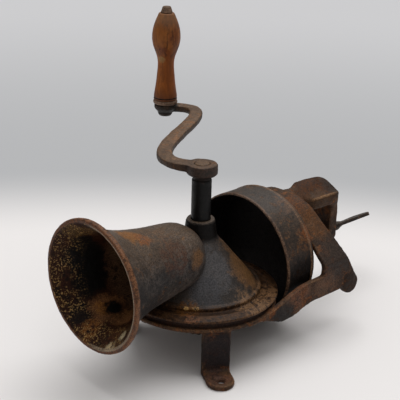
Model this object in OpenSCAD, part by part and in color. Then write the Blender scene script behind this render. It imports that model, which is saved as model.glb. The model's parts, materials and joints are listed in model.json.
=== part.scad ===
// Hand cranked coffee mill: bell hopper, cone housing, drop-in cup and bench clamp.
// The crank axis is +Z, the wall face is Z = 0 and the cup and the clamp lie on the +X side.

/* [Base casting] */
// Height of the housing's seat above the wall face
seat_h = 44; // [42:0.5:50]
// Radius of the base ring's outer band
ring_r = 59.4; // [57:0.2:64]
// Height of the base ring's outer band
ring_band = 3.5; // [2.5:0.1:5]
// Height of the groove between the ring and the flange
groove_h = 4.5; // [4.2:0.1:6]
// Depth of the groove behind the ring's band
groove_d = 2.9; // [1:0.1:4]
// Thickness of the neck wall that carries the housing
neck_wall = 7; // [6:0.2:9]
// Radius of the rear bearing hub
hub_r = 14; // [12:0.5:18]
// Depth of the rear bearing hub below the ring
hub_h = 15; // [14:0.5:18]
// Width of the slot that lets the ground coffee out
outlet_w = 40; // [20:1:50]

/* [Legs] */
// Distance of the side legs' outer faces from the crank axis
leg_r = 57; // [52:0.5:62]
// Width of a leg
leg_w = 21; // [14:0.5:28]
// Thickness of a leg
leg_t = 6; // [4:0.2:9]
// Width of a wall lug
lug_w = 20.4; // [16:0.2:28]
// Thickness of a wall lug
lug_t = 4.3; // [3:0.1:6]
// Radius of the circle of wall screws
screw_circle_r = 70; // [66:0.5:80]
// Radius of a wall screw hole
screw_hole_r = 2.75; // [2:0.05:4]
// Depth of the countersink of a wall screw hole
sink_h = 1.6; // [0.8:0.1:2]

/* [Housing] */
// Radius of the housing's flange
flange_r = 60; // [57:0.2:64]
// Thickness of the flange at its edge
flange_edge = 1.8; // [1:0.1:3]
// Thickness of the flange at its shoulder
flange_t = 3.6; // [3.2:0.1:5]
// Width of the flange's sloping band
flange_band = 7.6; // [7:0.2:11]
// Depth of the channel between the shoulder and the bead
channel_d = 1.3; // [0.5:0.1:1.4]
// Radius of the bead round the foot of the cone
bead_r = 45.6; // [44.5:0.2:47]
// Thickness of that bead
bead_d = 3.2; // [2:0.1:4]
// Radius of the cone at its foot
cone_foot_r = 43.8; // [42.5:0.2:45]
// Radius of the cone at its top
cone_top_r = 13.8; // [13:0.2:16]
// Height of the cone's top above the seat
cone_h = 42; // [40:0.5:48]
// Radius of the bearing boss at its root
boss_root_r = 12.4; // [11.6:0.1:14]
// Radius of the bearing boss at its top
boss_top_r = 11; // [10.8:0.1:13]
// Height of the bearing boss above the cone
boss_h = 14; // [10:0.5:20]
// Wall of the grinding chamber
chamber_wall = 5; // [3.5:0.1:6.5]

/* [Hopper] */
// Distance of the hopper's mouth from the crank axis
hopper_reach = 105; // [90:1:130]
// Height of the hopper's axis above the seat
hopper_h = 33.7; // [32:0.5:38]
// Outer radius of the mouth
mouth_r = 49; // [42:0.5:52]
// Outer radius of the hopper's domed end
dome_r = 26; // [24:0.5:28]
// Distance of the dome's centre from the crank axis
dome_x = 30; // [27:0.5:34]
// Outward slope of the bell along its length
bell_slope = 8; // [4:0.5:12]
// Wall of the hopper
hopper_wall = 3.5; // [2.5:0.1:4.5]
// Thickness of the rounded lip at the mouth
lip_d = 5; // [4:0.1:7]
// Height of the throat's axis above the seat
throat_h = 25; // [24:0.5:26]
// Radius of the throat that feeds the chamber
throat_r = 9.5; // [7:0.2:10]
// Wall of the spigot round the throat
spigot_wall = 2; // [1.4:0.1:2.4]

/* [Cup] */
// Distance of the cup's rim from the crank axis
cup_x = 42.8; // [40:0.2:46]
// Length of the cup from rim to base
cup_len = 33.9; // [30:0.1:40]
// Outer radius of the cup's rim
cup_rim_r = 51.7; // [48:0.1:54]
// Outer radius of the cup's base
cup_base_r = 50.8; // [46:0.1:51]
// Wall of the cup
cup_wall = 2.2; // [1.5:0.1:3]
// Width of the notch that clears the flange
notch_w = 90; // [86:0.5:94]
// Depth of the step round the cup's base
cup_step = 0.7; // [0.3:0.1:1.2]

/* [Yoke] */
// Thickness of a side arm
arm_t = 5; // [4:0.1:7]
// Height of the side arms' top edge above the seat
arm_top = 6.4; // [5:0.2:12]
// Greatest depth of the side arms below the ring
arm_dip = 9; // [5:0.2:10]
// Thickness of the arched strap
strap_t = 4.5; // [3.5:0.1:6]
// Half width of the arch's flat top
arch_flat = 7; // [6.4:0.2:10]
// Radius of the arch's shoulders
shoulder_arc_r = 30; // [24:0.5:34]
// Width of the strap at the top of the arch
strap_top_w = 18; // [14:0.2:22]
// Width of the strap where it meets the side arms
strap_foot_w = 28; // [22:0.5:32]
// Radius of the heel at a side arm's end
heel_r = 8.7; // [7:0.1:10]
// Width of the tie bar between the side arms
tie_w = 6; // [4:0.2:8]

/* [Clamp] */
// Room between the heels and the jaw for the bench board
throat_w = 21; // [20:0.5:30]
// Thickness of the jaw
jaw_t = 10; // [8:0.2:13]
// Half width of the clamp's tongue
tongue_w = 13.5; // [11:0.2:16]
// Thickness of the clamp's tongue
tongue_t = 17; // [11:0.5:19]
// Drop of the tongue's top below the top of the arch
tongue_drop = 3.2; // [2:0.2:8]
// Height of the clamp screw's axis above the seat
clamp_h = 6.5; // [6:0.5:11]
// Radius of the clamp screw
clamp_screw_r = 4; // [3:0.1:5]
// Length of the clamp screw between the jaw and its blade
clamp_neck = 13; // [12:0.5:16]
// Length of the clamp screw's blade
blade_len = 41; // [30:1:48]
// Greatest width of the blade
blade_w = 20; // [14:0.5:26]
// Thickness of the blade
blade_t = 3; // [2:0.1:4.5]
// Turn of the blade about the screw's axis
blade_turn = -29; // [-90:1:90]
// Radius of the clamp pad
pad_r = 8; // [6:0.2:10]
// Thickness of the clamp pad
pad_t = 3.5; // [3:0.1:4.5]

/* [Mill works] */
// Radius of the shaft
shaft_r = 7.4; // [6.6:0.1:8]
// Radius of the shaft's rear journal
journal_r = 6; // [5:0.1:6.4]
// Length of bare shaft between the boss and the crank hub
shaft_bare = 31; // [24:0.5:40]
// Wall of the bearing bushes
bush_wall = 1.9; // [1.4:0.1:2.1]
// Length of the rear bush
rear_bush_len = 13; // [10:0.5:14]
// Outer radius of the burrs
burr_r = 42; // [39:0.2:42.5]
// Radius of the fixed burr's eye
burr_eye_r = 18; // [17:0.2:22]
// Thickness of the fixed burr
fixed_burr_t = 4; // [3:0.1:5]
// Thickness of the rotating burr
turning_burr_t = 3.6; // [3:0.1:4]
// Gap between the burrs
burr_gap = 0.5; // [0.3:0.05:0.8]
// Number of cutting grooves in each burr
burr_grooves = 18; // [9:1:30]
// Radius of the rotating burr's hub
burr_hub_r = 15.5; // [13:0.1:16]
// Outer radius of the feed worm
worm_r = 12.5; // [11.5:0.1:13]
// Length of the feed worm
worm_len = 26; // [20:0.5:28]
// Radius of the drive pins
pin_r = 2; // [1.5:0.1:2.5]
// Radius of the adjusting screw
adjust_r = 5; // [4:0.1:5.5]
// Height of the lock nut
nut_h = 5; // [4:0.2:6]
// Radius of the adjusting screw's thumb head
thumb_r = 9; // [8:0.2:12]

/* [Crank] */
// Distance from the crank axis to the grip's axis
crank_throw = 150; // [120:1:170]
// Direction of the crank at rest
crank_angle = 58; // [0:1:359]
// Sideways reach of the crank's bends
crank_bend = 79; // [40:1:90]
// Radius of the crank's hub
crank_hub_r = 11.6; // [10:0.1:14]
// Height of the crank's hub
crank_hub_h = 12; // [10:0.2:16]
// Width of the crank arm at the hub
crank_w = 13; // [10:0.2:16]
// Width of the crank arm at the eye
crank_end_w = 10.5; // [8:0.2:13]
// Thickness of the crank arm
crank_t = 6; // [4:0.1:8]
// Radius of the crank's eye
eye_r = 9.3; // [8:0.1:11]

/* [Grip] */
// Length of the wooden grip
grip_len = 73.5; // [60:0.5:95]
// Radius of the grip's belly
grip_belly_r = 11.9; // [10.5:0.1:15]
// Radius of the grip's waist
grip_waist_r = 6.9; // [6:0.1:9]
// Radius of the grip at its foot
grip_foot_r = 9.85; // [8:0.1:10.2]
// Radius of the grip at its top
grip_top_r = 6.6; // [6:0.1:7.5]
// Radius of the ferrule under the grip
ferrule_r = 10.4; // [9:0.1:12]
// Height of the ferrule
ferrule_h = 4; // [3:0.1:6]
// Radius of the spindle
spindle_r = 4; // [3:0.1:4.5]
// Height of the spindle's peened head
spindle_head_h = 5; // [4:0.1:8]

/* [Fits] */
// Radial clearance of a turning fit
running = 0.05; // [0.02:0.01:0.1]
// Clearance of pieces that are fixed in one another
snug = 0.03; // [0.02:0.01:0.06]
// Gap between pieces that move past each other
free_gap = 0.3; // [0.2:0.05:0.5]

/* [Hidden] */
$fn = 64;
cut = 1;
leg_angles = [120, 240];
screw_angles = [60, 180, 300];
burr_screw_angles = [30, 150, 270];
bell_steps = 14;
curve_steps = 24;

// Heights of the base casting
plate_top = seat_h - groove_h;
plate_z = plate_top - ring_band;
hub_z = plate_z - hub_h;
neck_r = ring_r - groove_d;
neck_in_r = neck_r - neck_wall;
housing_screw_r = 2;
housing_screw_circle = neck_r - neck_wall / 2;
screw_head_r = 3.8;
screw_head_h = 2.4;
screw_grip = flange_t - channel_d - 0.7;

// Cone housing
shoulder_r = flange_r - flange_band;
bead_z = seat_h + flange_t + bead_d / 2 - 0.4;
cone_z = bead_z + bead_d / 2;
cone_top_z = seat_h + cone_h;
cone_slope = (cone_foot_r - cone_top_r) / (cone_top_z - cone_z);
cone_lean = sqrt(1 + cone_slope * cone_slope);
boss_z = cone_top_z + 3.5;
boss_top = cone_top_z + boss_h;
burr_seat = seat_h + burr_gap / 2 + fixed_burr_t;
chamber_top = cone_top_z - 4;
burr_screw_r = 1.5;
burr_screw_circle = burr_r - 3.5;
burr_screw_len = 4;
ledge_r = burr_screw_circle - 3;

// Bearings
front_bush_r = shaft_r + running + bush_wall;
rear_bush_r = journal_r + running + bush_wall;
bush_collar_h = 1.2;
bush_collar_r = boss_top_r - 0.4;
shaft_end = plate_top - rear_bush_len + cut;

// Burrs and worm
burr_top = seat_h - burr_gap / 2;
burr_bottom = burr_top - turning_burr_t;
burr_hub_top = burr_seat + 2.6;
groove_w = 3;
groove_cut = 1.2;
worm_z = burr_hub_top + 0.2;
worm_core_r = shaft_r + 2.2;
worm_turns = 1.5;
burr_pin_z = (burr_top + burr_hub_top) / 2 + 0.6;
worm_pin_z = worm_z + worm_len / 2;

// Grind adjuster
adjust_top = shaft_end - free_gap;
adjust_gap = 2;
thumb_h = 6;
thumb_top = hub_z - nut_h - adjust_gap;
nut_r = adjust_r + 3.8;

// Hopper
hopper_z = seat_h + hopper_h;
throat_z = seat_h + throat_h;
spigot_r = throat_r + spigot_wall;
bell_len = hopper_reach - dome_x;
bell_flare = mouth_r - dome_r - bell_slope;

// Cup
cup_r = max(cup_rim_r, cup_base_r + cup_step);
cup_z = lug_t + free_gap + cup_r;
cup_end = cup_x + cup_len;
cup_base_t = cup_wall + 0.3;
notch_depth = flange_r + 2 - cup_x;
notch_top = max(cup_z, seat_h + flange_t + 3);

// Yoke
arm_in = max(ring_r - arm_t, cup_r + 2.7);
arm_out = arm_in + arm_t;
arm_top_z = seat_h + arm_top;
strap_x = cup_end + free_gap;
arch_top = cup_z + cup_base_r - 7.5;
heel_x = strap_x + strap_foot_w + 5.2;
heel_z = seat_h - 9.3;
heel_w = arm_t + 2;
clear_x = sqrt(max(flange_r * flange_r - arm_in * arm_in, 1)) + 1.5;
rise_x = clear_x - 16;
rise_len = 50;
arm_root_x = -6;
dip_x = 2;
dip_len = 34;
dip_back = 0.66;
back_len = 30;
tie_h = 8;
tie_z = plate_z - 3;
inner_leg_r = cup_x - 2.8;
arch_foot_z = seat_h + 15.5;
shoulder_at = [arch_flat, arch_top - shoulder_arc_r];
foot_away = [arm_out, arch_foot_z] - shoulder_at;
shoulder_from = atan2(foot_away[1], foot_away[0]) + acos(shoulder_arc_r / norm(foot_away));

// Clamp
heel_end = heel_x + heel_r;
jaw_x = heel_end + throat_w;
jaw_end = jaw_x + jaw_t;
tongue_end = jaw_end + 2;
tongue_top = arch_top - tongue_drop;
tongue_bottom = tongue_top - tongue_t;
tongue_root_w = 6;
clamp_z = seat_h + clamp_h;
jaw_r = 11;
pad_x = jaw_x - pad_t - 3.5;
tip_r = clamp_screw_r - 1;
tip_depth = pad_t - 1.2;
blade_x = jaw_end + clamp_neck;

// Crank and grip
hub_bottom = boss_top + bush_collar_h + shaft_bare;
hub_top = hub_bottom + crank_hub_h;
arm_z = hub_top - crank_t;
hub_lip = 1.6;
hub_cone_h = 4.4;
hub_edge = 0.8;
shaft_tail_r = 5.8;
eye_rise = 0.5;
eye_bottom = arm_z - 1;
eye_top = hub_top + eye_rise;
rivet_r = 6.5;
rivet_h = 2.5;
grip_x = crank_throw * cos(crank_angle);
grip_y = crank_throw * sin(crank_angle);
ferrule_z = eye_top + free_gap;
grip_z = ferrule_z + ferrule_h;
grip_top = grip_z + grip_len;
grip_waist_h = 0.41 * grip_len;
grip_belly_h = 0.735 * grip_len;
head_r = grip_top_r - 1.5;

// Eases from 0 to 1 with level ends
function ease(t) = (1 - cos(180 * min(max(t, 0), 1))) / 2;

// A point of a cubic curve with the given four control points
function curve(t, a, b, c, d) =
    pow(1 - t, 3) * a + 3 * t * pow(1 - t, 2) * b + 3 * t * t * (1 - t) * c + pow(t, 3) * d;

// Direction of that curve, of length one
function heading(t, a, b, c, d) =
    let (v = curve(min(t + 0.01, 1), a, b, c, d) - curve(max(t - 0.01, 0), a, b, c, d))
    v / norm(v);

// Points of an arc, from one angle to another
function arc(centre, r, from, to, steps = 8) =
    [for (i = [0 : steps]) let (a = from + (to - from) * i / steps) centre + r * [cos(a), sin(a)]];

// Outer radius of the bell at a distance from the crank axis
function bell_r(d) =
    let (s = (d - dome_x) / bell_len) dome_r + bell_slope * s + bell_flare * pow(s, 4);

// Radius of the grip at a height above its foot
function grip_r(h) =
    h < grip_waist_h ? grip_foot_r + (grip_waist_r - grip_foot_r) * ease(h / grip_waist_h)
    : h < grip_belly_h
        ? grip_waist_r + (grip_belly_r - grip_waist_r)
            * ease((h - grip_waist_h) / (grip_belly_h - grip_waist_h))
        : grip_top_r + (grip_belly_r - grip_top_r)
            * cos(90 * (h - grip_belly_h) / (grip_len - grip_belly_h));

// Lays a solid that was turned about Z along +X at a height
module along_x(z) {
    translate([0, 0, z])
        rotate([0, 90, 0])
            children();
}

// Lays a solid that was turned about Z along -X at a height
module along_minus_x(z) {
    translate([0, 0, z])
        rotate([0, -90, 0])
            children();
}

// Extrudes an outline that is drawn in X and Z, from one Y to another
module side_plate(y0, y1, points) {
    translate([0, y1, 0])
        rotate([90, 0, 0])
            linear_extrude(height = y1 - y0)
                polygon(points);
}

// Copies a piece to both sides of the X axis
module both_sides() {
    children();
    mirror([0, 1, 0])
        children();
}

// Outside of the cone housing, grown by a distance, without its flange
module cone_envelope(grow) {
    foot_r = cone_foot_r + grow * cone_lean;
    rotate_extrude()
        polygon([
            [0, seat_h],
            [foot_r + cone_slope * (cone_z - seat_h), seat_h],
            [cone_top_r + grow * cone_lean, cone_top_z],
            [boss_root_r + grow, boss_z],
            [boss_top_r + grow, boss_top],
            [0, boss_top]
        ]);
    rotate_extrude()
        translate([bead_r, bead_z])
            circle(r = bead_d / 2 + grow);
}

// Hollow of the grinding chamber above the fixed burr
module chamber() {
    top_r = cone_top_r + cone_slope * (cone_top_z - chamber_top) - chamber_wall * cone_lean + 1.5;
    rotate_extrude()
        polygon([
            [0, burr_seat - cut],
            [ledge_r, burr_seat - cut],
            [ledge_r, burr_seat],
            [top_r, chamber_top],
            [0, chamber_top]
        ]);
}

// One leg with its wall lug, pointing along +X
module leg(face_r) {
    back_r = face_r - leg_t;
    tip_x = screw_circle_r - 0.9;
    difference() {
        union() {
            translate([back_r, -leg_w / 2, 0])
                cube([leg_t, leg_w, plate_z + cut]);
            translate([back_r, -lug_w / 2, 0])
                cube([tip_x - back_r, lug_w, lug_t]);
            translate([tip_x, 0, 0])
                cylinder(r = lug_w / 2, h = lug_t);
        }
        translate([screw_circle_r, 0, -cut])
            cylinder(r = screw_hole_r, h = lug_t + 2 * cut);
        translate([screw_circle_r, 0, lug_t - sink_h])
            cylinder(r1 = screw_hole_r, r2 = screw_hole_r + sink_h * 1.4, h = sink_h * 1.4);
    }
}

// Ring, back plate, neck and rear bearing hub of the base
module base_ring() {
    rotate_extrude()
        polygon([
            [0, hub_z],
            [hub_r - 1.5, hub_z],
            [hub_r, hub_z + 1.5],
            [hub_r, plate_z],
            [ring_r - 0.8, plate_z],
            [ring_r, plate_z + 0.8],
            [ring_r, plate_top - 0.6],
            [ring_r - 0.6, plate_top],
            [neck_r, plate_top],
            [neck_r, seat_h],
            [neck_in_r, seat_h],
            [neck_in_r, plate_top],
            [0, plate_top]
        ]);
}

// Side arm from the ring to its heel
module side_arm() {
    arm_end = heel_x - heel_r;
    top_edge = [
        for (i = [0 : 10])
            [rise_x + rise_len * i / 10, plate_top + (arm_top_z - plate_top) * ease(i / 10)]
    ];
    bottom_edge = [
        for (i = [0 : curve_steps])
            let (
                x = arm_end - (arm_end - arm_root_x) * i / curve_steps,
                down = ease((x - dip_x) / dip_len),
                up = dip_back * ease((x - dip_x - dip_len) / back_len)
            )
            [x, plate_z - arm_dip * (down - up)]
    ];
    side_plate(
        arm_in, arm_out,
        concat(
            [[arm_root_x, plate_top]], top_edge,
            [[strap_x, arm_top_z], [strap_x + strap_foot_w, arch_foot_z]],
            arc([heel_x, heel_z], heel_r, 25, -90), bottom_edge
        )
    );
    // Root that ties the arm to the ring
    translate([arm_root_x, ring_r - arm_t - 4, plate_z])
        cube([clear_x - arm_root_x - 2, arm_out - ring_r + arm_t + 4, ring_band]);
    translate([heel_x, arm_in - 1, heel_z])
        rotate([-90, 0, 0])
            cylinder(r = heel_r, h = heel_w);
}

// Arched strap over the cup's base
module arch() {
    inner_side = arm_out - strap_t;
    outer = concat(
        [[arm_out, plate_top], [arm_out, arch_foot_z]],
        arc(shoulder_at, shoulder_arc_r, shoulder_from, 90)
    );
    inner = concat(
        [[inner_side, plate_top], [inner_side, arch_foot_z - strap_t * 0.4]],
        arc(shoulder_at, shoulder_arc_r - strap_t, shoulder_from, 90)
    );
    top = len(outer) - 1;
    outline = concat(
        outer,
        [for (i = [top : -1 : 0]) [-outer[i][0], outer[i][1]]],
        [for (p = inner) [-p[0], p[1]]],
        [for (i = [top : -1 : 0]) inner[i]]
    );
    intersection() {
        translate([strap_x, 0, 0])
            rotate([90, 0, 90])
                linear_extrude(height = strap_foot_w)
                    polygon(outline);
        side_plate(
            -arm_out - cut, arm_out + cut,
            [
                [strap_x - cut, plate_top - cut],
                [strap_x + strap_foot_w, plate_top - cut],
                [strap_x + strap_foot_w, arch_foot_z],
                [strap_x + strap_top_w + 0.55 * (strap_foot_w - strap_top_w), (arch_foot_z + arch_top) / 2],
                [strap_x + strap_top_w, arch_top + cut],
                [strap_x - cut, arch_top + cut]
            ]
        );
    }
}

// Tongue of the bench clamp, with its hanging jaw
module clamp_tongue() {
    root_x = strap_x + 3;
    neck_x = strap_x + strap_top_w;
    spread_x = neck_x + 7;
    spread_len = 20;
    corner_r = 9;
    edge = [
        for (i = [0 : 8])
            [
                spread_x + spread_len * i / 8,
                tongue_root_w + (tongue_w - tongue_root_w) * ease(i / 8)
            ]
    ];
    plan = concat(
        [[root_x, -tongue_root_w]],
        [for (p = edge) [p[0], -p[1]]],
        arc([tongue_end - corner_r, -tongue_w + corner_r], corner_r, -90, 0),
        arc([tongue_end - corner_r, tongue_w - corner_r], corner_r, 0, 90),
        [for (i = [8 : -1 : 0]) edge[i]],
        [[root_x, tongue_root_w]]
    );
    intersection() {
        translate([0, 0, tongue_bottom - cut])
            linear_extrude(height = arch_top - tongue_bottom + 2 * cut)
                polygon(plan);
        side_plate(
            -tongue_w - cut, tongue_w + cut,
            [
                [root_x, arch_top - 0.6],
                [neck_x, arch_top - 1.4],
                [spread_x, arch_top - tongue_drop * 0.25],
                [spread_x + spread_len, arch_top - tongue_drop * 0.5],
                [tongue_end - 3, tongue_top],
                [tongue_end, tongue_top - 3],
                [tongue_end, tongue_bottom],
                [spread_x + 15, tongue_bottom],
                [spread_x + 1, tongue_bottom + 7],
                [root_x, arch_top - strap_t]
            ]
        );
    }
    difference() {
        union() {
            translate([jaw_x, -jaw_r, clamp_z])
                cube([jaw_t, 2 * jaw_r, tongue_bottom - clamp_z + cut]);
            along_x(clamp_z)
                translate([0, 0, jaw_x])
                    cylinder(r = jaw_r, h = jaw_t);
        }
        along_x(clamp_z)
            translate([0, 0, jaw_x - cut])
                cylinder(r = clamp_screw_r + running, h = jaw_t + 2 * cut);
    }
}

module base_frame() {
    color("#3a302b")
        difference() {
            union() {
                base_ring();
                for (a = leg_angles)
                    rotate([0, 0, a])
                        leg(leg_r);
                leg(inner_leg_r);
                both_sides()
                    side_arm();
                arch();
                translate([strap_x, -arm_in - cut, tie_z])
                    cube([tie_w, 2 * (arm_in + cut), tie_h]);
                clamp_tongue();
            }
            // Rear bush seat and adjusting screw hole
            translate([0, 0, plate_top - rear_bush_len])
                cylinder(r = rear_bush_r + snug, h = rear_bush_len + cut);
            translate([0, 0, hub_z - cut])
                cylinder(r = adjust_r + running, h = hub_h + ring_band + cut);
            // Outlet for the ground coffee
            translate([neck_in_r - 6, -outlet_w / 2, plate_top])
                cube([ring_r, outlet_w, groove_h + cut]);
            for (a = screw_angles)
                rotate([0, 0, a])
                    translate([housing_screw_circle, 0, plate_z - cut])
                        cylinder(r = housing_screw_r + running, h = seat_h - plate_z + 2 * cut);
        }
}

module housing() {
    color("#2f2b29")
        difference() {
            union() {
                rotate_extrude()
                    polygon([
                        [0, seat_h],
                        [flange_r, seat_h],
                        [flange_r, seat_h + flange_edge],
                        [shoulder_r + 0.4, seat_h + flange_t],
                        [shoulder_r - 0.9, seat_h + flange_t - channel_d],
                        [bead_r + bead_d / 2, seat_h + flange_t - channel_d],
                        [bead_r, bead_z],
                        [0, bead_z]
                    ]);
                cone_envelope(0);
            }
            chamber();
            // Seat of the fixed burr
            translate([0, 0, seat_h - cut])
                cylinder(r = burr_r + 0.5 + snug, h = burr_seat - seat_h + cut);
            translate([0, 0, chamber_top - cut])
                cylinder(r = front_bush_r + snug, h = boss_top - chamber_top + 2 * cut);
            along_minus_x(throat_z)
                cylinder(r = spigot_r + snug, h = flange_r);
            for (a = screw_angles)
                rotate([0, 0, a])
                    translate([housing_screw_circle, 0, seat_h - cut])
                        cylinder(r = housing_screw_r + running, h = screw_grip + cut + 0.3);
            for (a = burr_screw_angles)
                rotate([0, 0, a])
                    translate([burr_screw_circle, 0, burr_seat - cut])
                        cylinder(r = burr_screw_r + running, h = burr_screw_len + cut + 0.3);
        }
}

// Solid of the bell, moved in from its outer face by a distance
module bell(inset, past_mouth) {
    reach = hopper_reach + past_mouth;
    along_minus_x(hopper_z) {
        rotate_extrude()
            polygon(concat(
                [[0, dome_x]],
                [
                    for (i = [0 : bell_steps])
                        let (d = dome_x + (reach - dome_x) * i / bell_steps) [bell_r(d) - inset, d]
                ],
                [[0, reach]]
            ));
        translate([0, 0, dome_x])
            sphere(r = dome_r - inset);
    }
}

module hopper() {
    lip_r = mouth_r - lip_d / 2;
    color("#4a3b32") {
        difference() {
            union() {
                difference() {
                    bell(0, 0);
                    cone_envelope(snug);
                }
                difference() {
                    along_minus_x(throat_z)
                        cylinder(r = spigot_r, h = dome_x + 22);
                    chamber();
                }
            }
            difference() {
                bell(hopper_wall, 1);
                cone_envelope(hopper_wall);
            }
            along_minus_x(throat_z)
                cylinder(r = throat_r, h = dome_x + 30);
        }
        along_minus_x(hopper_z)
            translate([0, 0, hopper_reach - lip_d / 2])
                rotate_extrude()
                    translate([lip_r, 0])
                        circle(r = lip_d / 2);
    }
}

module front_bush() {
    color("#6b5f55")
        difference() {
            union() {
                translate([0, 0, chamber_top])
                    cylinder(r = front_bush_r, h = boss_top - chamber_top + bush_collar_h);
                translate([0, 0, boss_top])
                    cylinder(r1 = bush_collar_r, r2 = bush_collar_r - 0.4, h = bush_collar_h);
            }
            translate([0, 0, chamber_top - cut])
                cylinder(r = shaft_r + running, h = boss_top - chamber_top + 3 * cut + bush_collar_h);
        }
}

module rear_bush() {
    color("#6b5f55")
        translate([0, 0, plate_top - rear_bush_len])
            difference() {
                cylinder(r = rear_bush_r, h = rear_bush_len);
                translate([0, 0, -cut])
                    cylinder(r = journal_r + running, h = rear_bush_len + 2 * cut);
            }
}

module housing_screws() {
    color("#5a5048")
        for (a = screw_angles)
            rotate([0, 0, a])
                translate([housing_screw_circle, 0, 0]) {
                    translate([0, 0, plate_z])
                        cylinder(r = housing_screw_r, h = seat_h + screw_grip - plate_z);
                    difference() {
                        translate([0, 0, plate_z - screw_head_h])
                            cylinder(r1 = screw_head_r - 0.5, r2 = screw_head_r, h = screw_head_h);
                        translate([-screw_head_r, -0.5, plate_z - screw_head_h - cut])
                            cube([2 * screw_head_r, 1, cut + 1]);
                    }
                }
}

// Cutting grooves across a burr's face at a height
module burr_cuts(inner_r, z) {
    for (i = [0 : burr_grooves - 1])
        rotate([0, 0, 360 * i / burr_grooves])
            translate([inner_r, inner_r * 0.35, z])
                cube([burr_r, groove_w, groove_cut]);
}

module fixed_burr() {
    color("#77706a")
        difference() {
            translate([0, 0, burr_seat - fixed_burr_t])
                cylinder(r = burr_r + 0.5, h = fixed_burr_t);
            translate([0, 0, burr_seat - fixed_burr_t - cut])
                cylinder(r = burr_eye_r, h = fixed_burr_t + 2 * cut);
            difference() {
                burr_cuts(burr_eye_r - 2, burr_seat - fixed_burr_t - 0.2);
                translate([0, 0, burr_seat - fixed_burr_t - cut])
                    difference() {
                        cylinder(r = burr_r + 20, h = fixed_burr_t + cut);
                        translate([0, 0, -cut])
                            cylinder(r = burr_screw_circle - 4, h = fixed_burr_t + 3 * cut);
                    }
            }
            for (a = burr_screw_angles)
                rotate([0, 0, a])
                    translate([burr_screw_circle, 0, burr_seat - fixed_burr_t - cut]) {
                        cylinder(r = burr_screw_r + running, h = fixed_burr_t + 2 * cut);
                        cylinder(r = 2 * burr_screw_r + running, h = cut + 2);
                    }
        }
}

module burr_screws() {
    color("#5a5048")
        for (a = burr_screw_angles)
            rotate([0, 0, a])
                translate([burr_screw_circle, 0, burr_seat - fixed_burr_t + 0.2]) {
                    cylinder(r = 2 * burr_screw_r, h = 1.8);
                    cylinder(r = burr_screw_r, h = fixed_burr_t - 0.2 + burr_screw_len);
                }
}

module rotating_burr() {
    color("#77706a")
        difference() {
            union() {
                difference() {
                    translate([0, 0, burr_bottom])
                        cylinder(r = burr_r, h = turning_burr_t);
                    burr_cuts(burr_eye_r - 2, burr_top - groove_cut + 0.2);
                }
                translate([0, 0, burr_bottom])
                    cylinder(r = burr_hub_r, h = burr_hub_top - burr_bottom);
            }
            translate([0, 0, burr_bottom - cut])
                cylinder(r = shaft_r + snug, h = burr_hub_top - burr_bottom + 2 * cut);
            translate([0, 0, burr_pin_z])
                rotate([90, 0, 0])
                    cylinder(r = pin_r + snug, h = 3 * burr_hub_r, center = true);
        }
}

module feed_worm() {
    color("#77706a")
        translate([0, 0, worm_z])
            difference() {
                union() {
                    cylinder(r = worm_core_r, h = worm_len);
                    linear_extrude(height = worm_len, twist = -360 * worm_turns, slices = 24, $fn = 16)
                        for (a = [0, 180])
                            rotate([0, 0, a])
                                translate([worm_core_r - 3, -1.6])
                                    square([worm_r - worm_core_r + 3, 3.2]);
                }
                translate([0, 0, -cut])
                    cylinder(r = shaft_r + snug, h = worm_len + 2 * cut);
                translate([0, 0, worm_pin_z - worm_z])
                    rotate([90, 0, 0])
                        cylinder(r = pin_r + snug, h = 3 * worm_r, center = true);
            }
}

// Cross pin through a collar of the given radius
module cross_pin(z, r) {
    translate([0, 0, z])
        rotate([90, 0, 0])
            cylinder(r = pin_r, h = 2 * r - 1, center = true);
}

module drive_pins() {
    color("#8a8078") {
        cross_pin(burr_pin_z, burr_hub_r);
        cross_pin(worm_pin_z, worm_core_r);
    }
}

module shaft() {
    color("#35302d")
        difference() {
            union() {
                translate([0, 0, shaft_end])
                    cylinder(r = journal_r, h = burr_bottom - shaft_end + cut);
                translate([0, 0, burr_bottom])
                    cylinder(r = shaft_r, h = hub_bottom - burr_bottom);
                translate([0, 0, hub_bottom - cut])
                    cylinder(r = shaft_tail_r, h = crank_hub_h + cut);
                translate([0, 0, hub_top])
                    cylinder(r1 = shaft_tail_r, r2 = shaft_tail_r - 1, h = eye_rise);
            }
            for (z = [burr_pin_z, worm_pin_z])
                translate([0, 0, z])
                    rotate([90, 0, 0])
                        cylinder(r = pin_r + snug, h = 4 * shaft_r, center = true);
        }
}

module lock_nut() {
    color("#5a5048")
        translate([0, 0, hub_z - nut_h])
            difference() {
                cylinder(r = nut_r, h = nut_h, $fn = 6);
                translate([0, 0, -cut])
                    cylinder(r = adjust_r + running, h = nut_h + 2 * cut);
            }
}

module adjusting_screw() {
    flutes = 10;
    color("#5a5048") {
        translate([0, 0, thumb_top - cut])
            cylinder(r = adjust_r, h = adjust_top - thumb_top + cut);
        difference() {
            translate([0, 0, thumb_top - thumb_h])
                cylinder(r = thumb_r, h = thumb_h);
            for (i = [0 : flutes - 1])
                rotate([0, 0, 360 * i / flutes])
                    translate([thumb_r + 0.6, 0, thumb_top - thumb_h - cut])
                        cylinder(r = 1.8, h = thumb_h + 2 * cut);
        }
    }
}

// Outline of the curved crank arm, from hub to eye
function crank_outline() =
    let (
        b = [0.135 * crank_throw, crank_bend],
        c = [0.985 * crank_throw, -crank_bend],
        d = [crank_throw, 0],
        side = [
            for (i = [0 : curve_steps])
                let (
                    t = i / curve_steps,
                    p = curve(t, [0, 0], b, c, d),
                    v = heading(t, [0, 0], b, c, d),
                    w = (crank_w + (crank_end_w - crank_w) * t) / 2
                )
                [p + w * [-v[1], v[0]], p - w * [-v[1], v[0]]]
        ]
    )
    concat([for (s = side) s[0]], [for (i = [curve_steps : -1 : 0]) side[i][1]]);

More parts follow.
